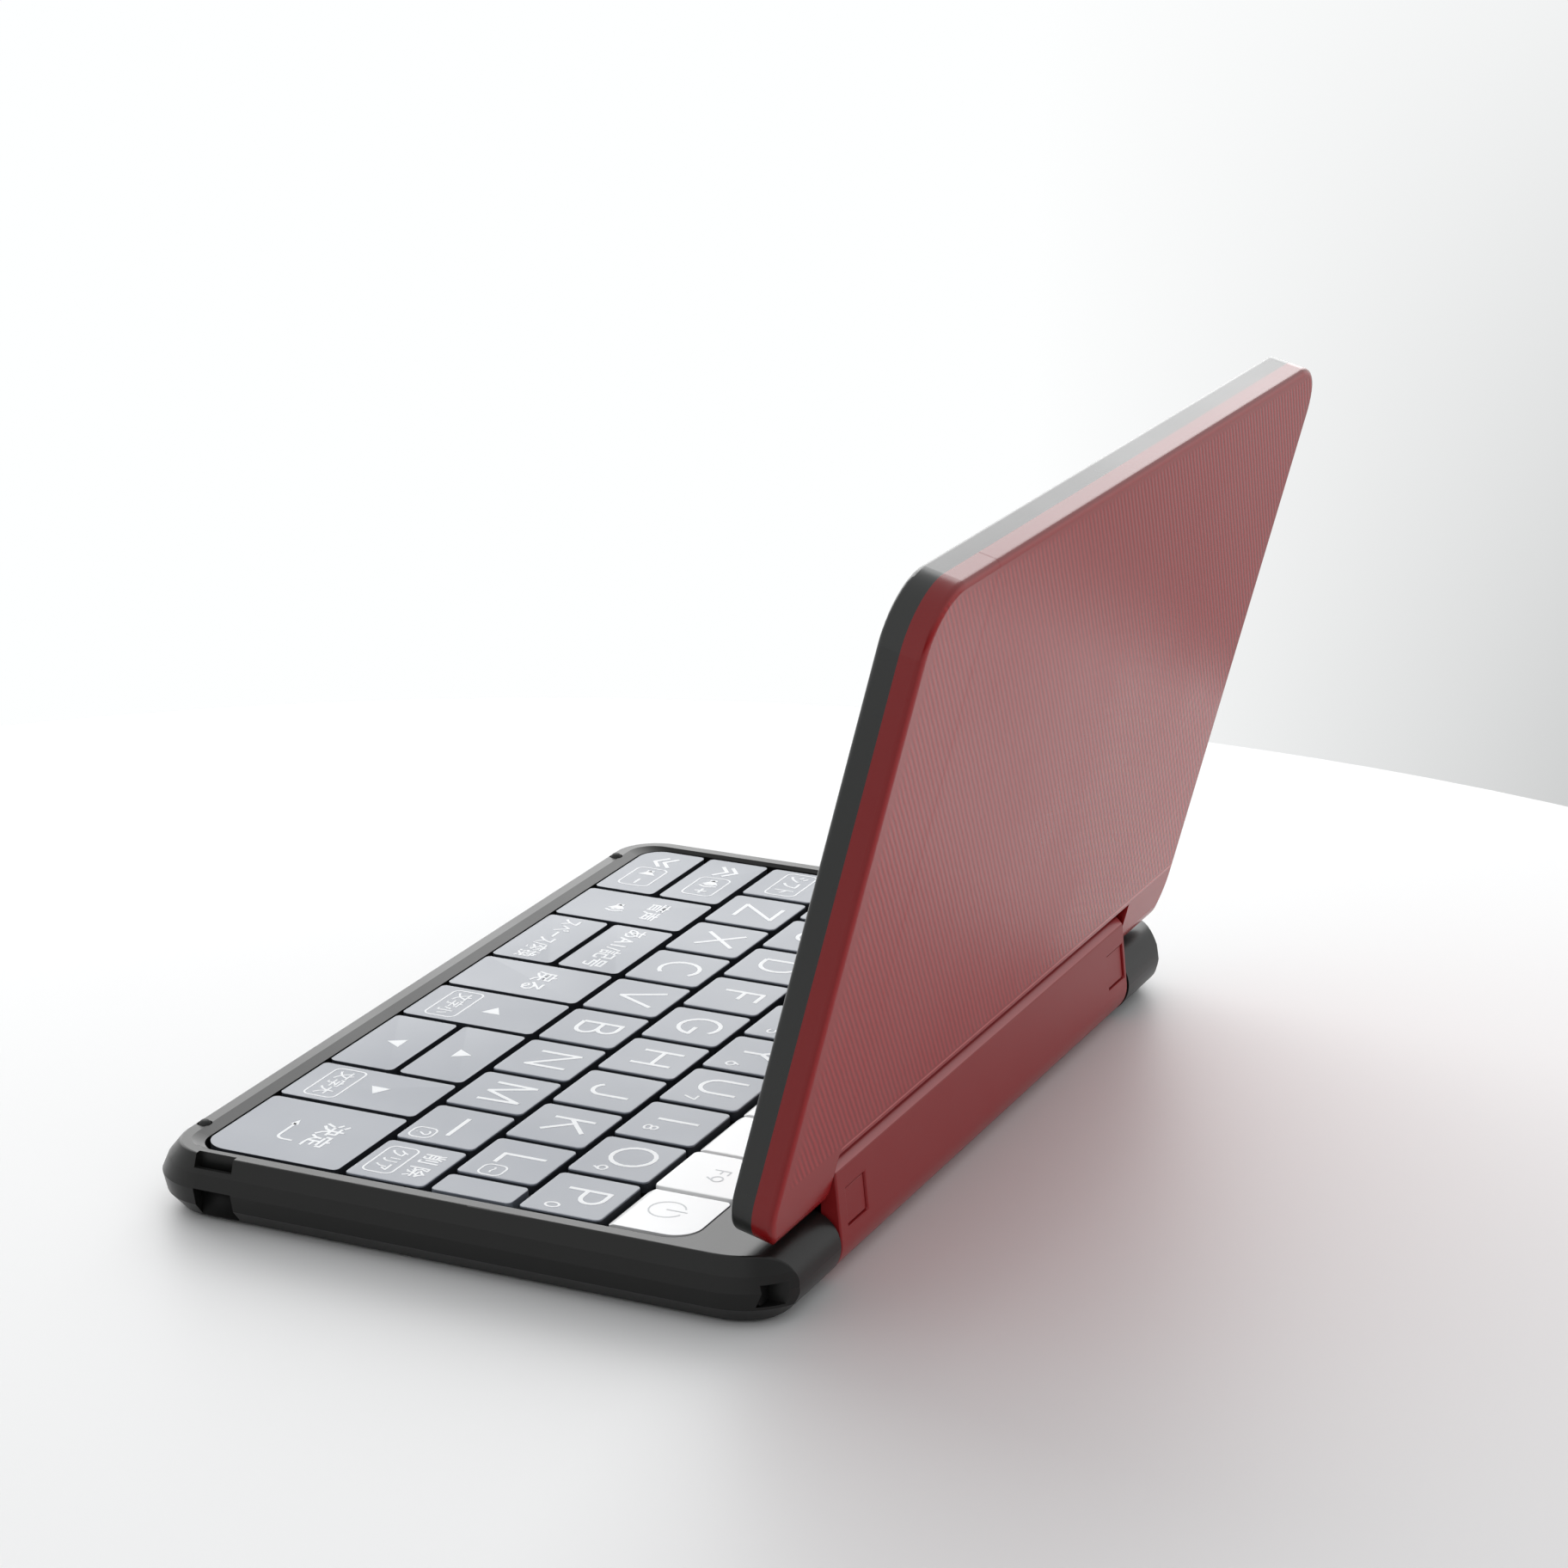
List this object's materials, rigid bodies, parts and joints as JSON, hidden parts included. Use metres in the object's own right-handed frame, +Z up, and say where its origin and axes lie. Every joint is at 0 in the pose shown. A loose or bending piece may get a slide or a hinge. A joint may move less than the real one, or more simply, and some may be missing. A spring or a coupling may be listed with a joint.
{
  "type": "electronic dictionary",
  "caption": "Pocket electronic dictionary: keyboard base, display lid on a two-axis hinge spine that folds right round, and a stylus kept in the side.",
  "frame": {"origin": "centre of the base's footprint, in the plane of the rubber feet", "axes": "+X to the user's right along the hinge, +Y from the user to the hinge, +Z up"},
  "size_m": [0.1484, 0.1196, 0.1042],
  "materials": {
    "case_gloss": "gloss black",
    "frame_black": "matt black",
    "bezel_black": "gloss black",
    "keys_grey": "satin light grey",
    "keys_white": "satin white",
    "mat_rubber": "translucent grey silicone",
    "rubber_black": "matt black",
    "board_green": "solder mask",
    "battery_foil": "foil",
    "steel": "brushed",
    "spine_red": "satin metallic red",
    "lid_red": "gloss metallic red",
    "panel_glass": "clear",
    "display_dark": "dark"
  },
  "bodies": {
    "base": {"base_bottom_case": "case_gloss", "base_top_case": "case_gloss", "battery_cover": "case_gloss", "battery_pack": "battery_foil", "case_screws": "steel", "charge_socket": "steel", "key_frame": "frame_black", "key_mat": "mat_rubber", "main_board": "board_green", "rubber_feet": "rubber_black", "speaker": "steel"},
    "spine": {"hinge_spine": "spine_red", "hinge_pins": "steel"},
    "lid": {"lid_front_bezel": "bezel_black", "lid_rear_cover": "lid_red", "touch_panel": "panel_glass", "display_module": "display_dark"},
    "stylus": {"stylus": "frame_black"},
    "function_keys": {"function_keys": "keys_white"},
    "key_a": {"key_a": "keys_grey"},
    "key_b": {"key_b": "keys_grey"},
    "key_back": {"key_back": "keys_grey"},
    "key_c": {"key_c": "keys_grey"},
    "key_d": {"key_d": "keys_grey"},
    "key_dash": {"key_dash": "keys_grey"},
    "key_delete": {"key_delete": "keys_grey"},
    "key_down": {"key_down": "keys_grey"},
    "key_e": {"key_e": "keys_grey"},
    "key_enter": {"key_enter": "keys_grey"},
    "key_f": {"key_f": "keys_grey"},
    "key_g": {"key_g": "keys_grey"},
    "key_h": {"key_h": "keys_grey"},
    "key_i": {"key_i": "keys_grey"},
    "key_j": {"key_j": "keys_grey"},
    "key_k": {"key_k": "keys_grey"},
    "key_l": {"key_l": "keys_grey"},
    "key_left": {"key_left": "keys_grey"},
    "key_m": {"key_m": "keys_grey"},
    "key_mode": {"key_mode": "keys_grey"},
    "key_n": {"key_n": "keys_grey"},
    "key_o": {"key_o": "keys_grey"},
    "key_p": {"key_p": "keys_grey"},
    "key_page_down": {"key_page_down": "keys_grey"},
    "key_page_up": {"key_page_up": "keys_grey"},
    "key_power": {"key_power": "keys_white"},
    "key_q": {"key_q": "keys_grey"},
    "key_r": {"key_r": "keys_grey"},
    "key_right": {"key_right": "keys_grey"},
    "key_s": {"key_s": "keys_grey"},
    "key_shift": {"key_shift": "keys_grey"},
    "key_sound": {"key_sound": "keys_grey"},
    "key_space": {"key_space": "keys_grey"},
    "key_t": {"key_t": "keys_grey"},
    "key_u": {"key_u": "keys_grey"},
    "key_up": {"key_up": "keys_grey"},
    "key_v": {"key_v": "keys_grey"},
    "key_w": {"key_w": "keys_grey"},
    "key_x": {"key_x": "keys_grey"},
    "key_y": {"key_y": "keys_grey"},
    "key_z": {"key_z": "keys_grey"}
  },
  "joints": [
    {"name": "base_hinge", "type": "hinge", "parent": "base", "child": "spine", "pos_m": [0, 0.04433, 0.0054], "axis": [-1, 0, 0], "range_deg": [0, 180]},
    {"name": "display_hinge", "type": "hinge", "parent": "spine", "child": "lid", "pos_m": [0, 0.04433, 0.01415], "axis": [-1, 0, 0], "range_deg": [-104.5, 75.5]},
    {"name": "stylus_slide", "type": "slide", "parent": "base", "child": "stylus", "axis": [0, 1, 0], "range_m": [0, 0.08]},
    {"name": "function_keys_press", "type": "slide", "parent": "base", "child": "function_keys", "axis": [0, 0, -1], "range_m": [0, 0.0006], "stiffness_N_per_m": 400, "springref_m": -0.001},
    {"name": "key_a_press", "type": "slide", "parent": "base", "child": "key_a", "axis": [0, 0, -1], "range_m": [0, 0.0006], "stiffness_N_per_m": 400, "springref_m": -0.001},
    {"name": "key_b_press", "type": "slide", "parent": "base", "child": "key_b", "axis": [0, 0, -1], "range_m": [0, 0.0006], "stiffness_N_per_m": 400, "springref_m": -0.001},
    {"name": "key_back_press", "type": "slide", "parent": "base", "child": "key_back", "axis": [0, 0, -1], "range_m": [0, 0.0006], "stiffness_N_per_m": 400, "springref_m": -0.001},
    {"name": "key_c_press", "type": "slide", "parent": "base", "child": "key_c", "axis": [0, 0, -1], "range_m": [0, 0.0006], "stiffness_N_per_m": 400, "springref_m": -0.001},
    {"name": "key_d_press", "type": "slide", "parent": "base", "child": "key_d", "axis": [0, 0, -1], "range_m": [0, 0.0006], "stiffness_N_per_m": 400, "springref_m": -0.001},
    {"name": "key_dash_press", "type": "slide", "parent": "base", "child": "key_dash", "axis": [0, 0, -1], "range_m": [0, 0.0006], "stiffness_N_per_m": 400, "springref_m": -0.001},
    {"name": "key_delete_press", "type": "slide", "parent": "base", "child": "key_delete", "axis": [0, 0, -1], "range_m": [0, 0.0006], "stiffness_N_per_m": 400, "springref_m": -0.001},
    {"name": "key_down_press", "type": "slide", "parent": "base", "child": "key_down", "axis": [0, 0, -1], "range_m": [0, 0.0006], "stiffness_N_per_m": 400, "springref_m": -0.001},
    {"name": "key_e_press", "type": "slide", "parent": "base", "child": "key_e", "axis": [0, 0, -1], "range_m": [0, 0.0006], "stiffness_N_per_m": 400, "springref_m": -0.001},
    {"name": "key_enter_press", "type": "slide", "parent": "base", "child": "key_enter", "axis": [0, 0, -1], "range_m": [0, 0.0006], "stiffness_N_per_m": 400, "springref_m": -0.001},
    {"name": "key_f_press", "type": "slide", "parent": "base", "child": "key_f", "axis": [0, 0, -1], "range_m": [0, 0.0006], "stiffness_N_per_m": 400, "springref_m": -0.001},
    {"name": "key_g_press", "type": "slide", "parent": "base", "child": "key_g", "axis": [0, 0, -1], "range_m": [0, 0.0006], "stiffness_N_per_m": 400, "springref_m": -0.001},
    {"name": "key_h_press", "type": "slide", "parent": "base", "child": "key_h", "axis": [0, 0, -1], "range_m": [0, 0.0006], "stiffness_N_per_m": 400, "springref_m": -0.001},
    {"name": "key_i_press", "type": "slide", "parent": "base", "child": "key_i", "axis": [0, 0, -1], "range_m": [0, 0.0006], "stiffness_N_per_m": 400, "springref_m": -0.001},
    {"name": "key_j_press", "type": "slide", "parent": "base", "child": "key_j", "axis": [0, 0, -1], "range_m": [0, 0.0006], "stiffness_N_per_m": 400, "springref_m": -0.001},
    {"name": "key_k_press", "type": "slide", "parent": "base", "child": "key_k", "axis": [0, 0, -1], "range_m": [0, 0.0006], "stiffness_N_per_m": 400, "springref_m": -0.001},
    {"name": "key_l_press", "type": "slide", "parent": "base", "child": "key_l", "axis": [0, 0, -1], "range_m": [0, 0.0006], "stiffness_N_per_m": 400, "springref_m": -0.001},
    {"name": "key_left_press", "type": "slide", "parent": "base", "child": "key_left", "axis": [0, 0, -1], "range_m": [0, 0.0006], "stiffness_N_per_m": 400, "springref_m": -0.001},
    {"name": "key_m_press", "type": "slide", "parent": "base", "child": "key_m", "axis": [0, 0, -1], "range_m": [0, 0.0006], "stiffness_N_per_m": 400, "springref_m": -0.001},
    {"name": "key_mode_press", "type": "slide", "parent": "base", "child": "key_mode", "axis": [0, 0, -1], "range_m": [0, 0.0006], "stiffness_N_per_m": 400, "springref_m": -0.001},
    {"name": "key_n_press", "type": "slide", "parent": "base", "child": "key_n", "axis": [0, 0, -1], "range_m": [0, 0.0006], "stiffness_N_per_m": 400, "springref_m": -0.001},
    {"name": "key_o_press", "type": "slide", "parent": "base", "child": "key_o", "axis": [0, 0, -1], "range_m": [0, 0.0006], "stiffness_N_per_m": 400, "springref_m": -0.001},
    {"name": "key_p_press", "type": "slide", "parent": "base", "child": "key_p", "axis": [0, 0, -1], "range_m": [0, 0.0006], "stiffness_N_per_m": 400, "springref_m": -0.001},
    {"name": "key_page_down_press", "type": "slide", "parent": "base", "child": "key_page_down", "axis": [0, 0, -1], "range_m": [0, 0.0006], "stiffness_N_per_m": 400, "springref_m": -0.001},
    {"name": "key_page_up_press", "type": "slide", "parent": "base", "child": "key_page_up", "axis": [0, 0, -1], "range_m": [0, 0.0006], "stiffness_N_per_m": 400, "springref_m": -0.001},
    {"name": "key_power_press", "type": "slide", "parent": "base", "child": "key_power", "axis": [0, 0, -1], "range_m": [0, 0.0006], "stiffness_N_per_m": 400, "springref_m": -0.001},
    {"name": "key_q_press", "type": "slide", "parent": "base", "child": "key_q", "axis": [0, 0, -1], "range_m": [0, 0.0006], "stiffness_N_per_m": 400, "springref_m": -0.001},
    {"name": "key_r_press", "type": "slide", "parent": "base", "child": "key_r", "axis": [0, 0, -1], "range_m": [0, 0.0006], "stiffness_N_per_m": 400, "springref_m": -0.001},
    {"name": "key_right_press", "type": "slide", "parent": "base", "child": "key_right", "axis": [0, 0, -1], "range_m": [0, 0.0006], "stiffness_N_per_m": 400, "springref_m": -0.001},
    {"name": "key_s_press", "type": "slide", "parent": "base", "child": "key_s", "axis": [0, 0, -1], "range_m": [0, 0.0006], "stiffness_N_per_m": 400, "springref_m": -0.001},
    {"name": "key_shift_press", "type": "slide", "parent": "base", "child": "key_shift", "axis": [0, 0, -1], "range_m": [0, 0.0006], "stiffness_N_per_m": 400, "springref_m": -0.001},
    {"name": "key_sound_press", "type": "slide", "parent": "base", "child": "key_sound", "axis": [0, 0, -1], "range_m": [0, 0.0006], "stiffness_N_per_m": 400, "springref_m": -0.001},
    {"name": "key_space_press", "type": "slide", "parent": "base", "child": "key_space", "axis": [0, 0, -1], "range_m": [0, 0.0006], "stiffness_N_per_m": 400, "springref_m": -0.001},
    {"name": "key_t_press", "type": "slide", "parent": "base", "child": "key_t", "axis": [0, 0, -1], "range_m": [0, 0.0006], "stiffness_N_per_m": 400, "springref_m": -0.001},
    {"name": "key_u_press", "type": "slide", "parent": "base", "child": "key_u", "axis": [0, 0, -1], "range_m": [0, 0.0006], "stiffness_N_per_m": 400, "springref_m": -0.001},
    {"name": "key_up_press", "type": "slide", "parent": "base", "child": "key_up", "axis": [0, 0, -1], "range_m": [0, 0.0006], "stiffness_N_per_m": 400, "springref_m": -0.001},
    {"name": "key_v_press", "type": "slide", "parent": "base", "child": "key_v", "axis": [0, 0, -1], "range_m": [0, 0.0006], "stiffness_N_per_m": 400, "springref_m": -0.001},
    {"name": "key_w_press", "type": "slide", "parent": "base", "child": "key_w", "axis": [0, 0, -1], "range_m": [0, 0.0006], "stiffness_N_per_m": 400, "springref_m": -0.001},
    {"name": "key_x_press", "type": "slide", "parent": "base", "child": "key_x", "axis": [0, 0, -1], "range_m": [0, 0.0006], "stiffness_N_per_m": 400, "springref_m": -0.001},
    {"name": "key_y_press", "type": "slide", "parent": "base", "child": "key_y", "axis": [0, 0, -1], "range_m": [0, 0.0006], "stiffness_N_per_m": 400, "springref_m": -0.001},
    {"name": "key_z_press", "type": "slide", "parent": "base", "child": "key_z", "axis": [0, 0, -1], "range_m": [0, 0.0006], "stiffness_N_per_m": 400, "springref_m": -0.001}
  ]
}
